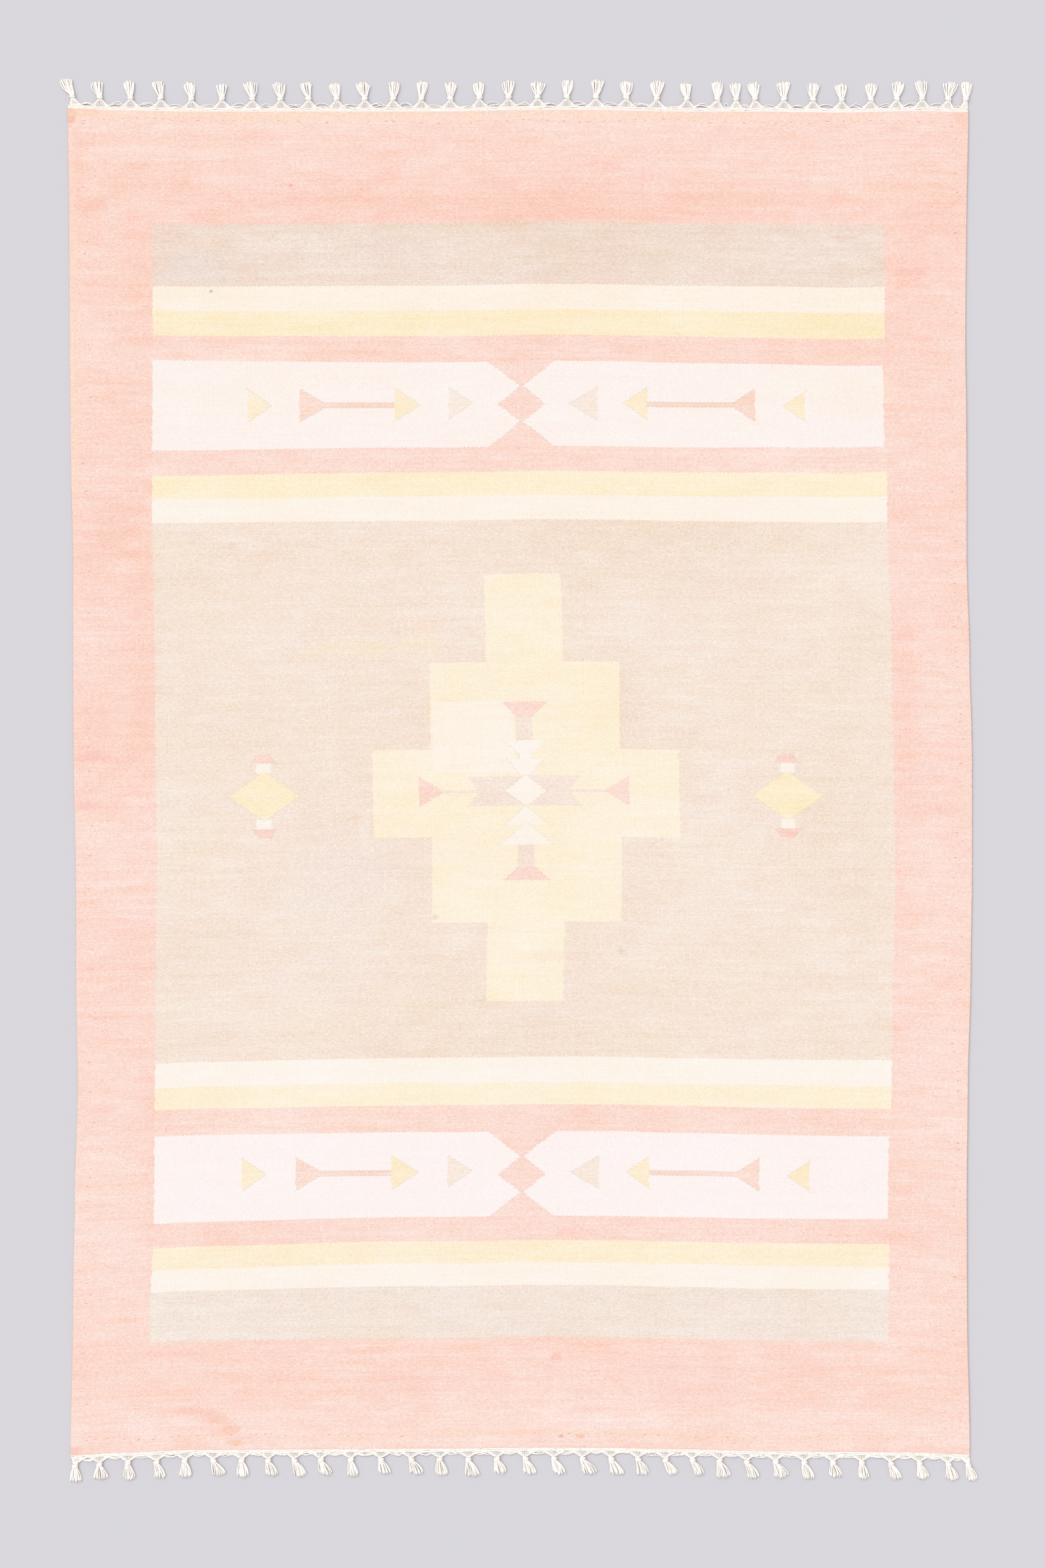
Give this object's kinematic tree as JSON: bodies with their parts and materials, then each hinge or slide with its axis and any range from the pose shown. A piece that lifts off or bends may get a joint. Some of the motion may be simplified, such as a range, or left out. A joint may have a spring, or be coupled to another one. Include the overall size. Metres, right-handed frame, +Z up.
{
  "type": "kilim rug",
  "caption": "Flat-woven cotton rug with a stepped medallion, striped borders and a knotted fringe along both ends, lying flat.",
  "frame": {"origin": "middle of the whole outline, fringe included, on the underside", "axes": "+Z up out of the rug's face, +Y along its length towards the top end, +X across it to the right"},
  "size_m": [1.2438, 1.91, 0.006],
  "materials": {
    "patterned_cotton_weave": "matt flat-woven cotton in pale pink, grey, cream, yellow and white bands",
    "fringe_cotton": "matt off-white cotton yarn"
  },
  "bodies": {
    "root": {"woven_cloth": "patterned_cotton_weave", "fringe_top": "fringe_cotton", "fringe_bottom": "fringe_cotton"}
  },
  "joints": []
}
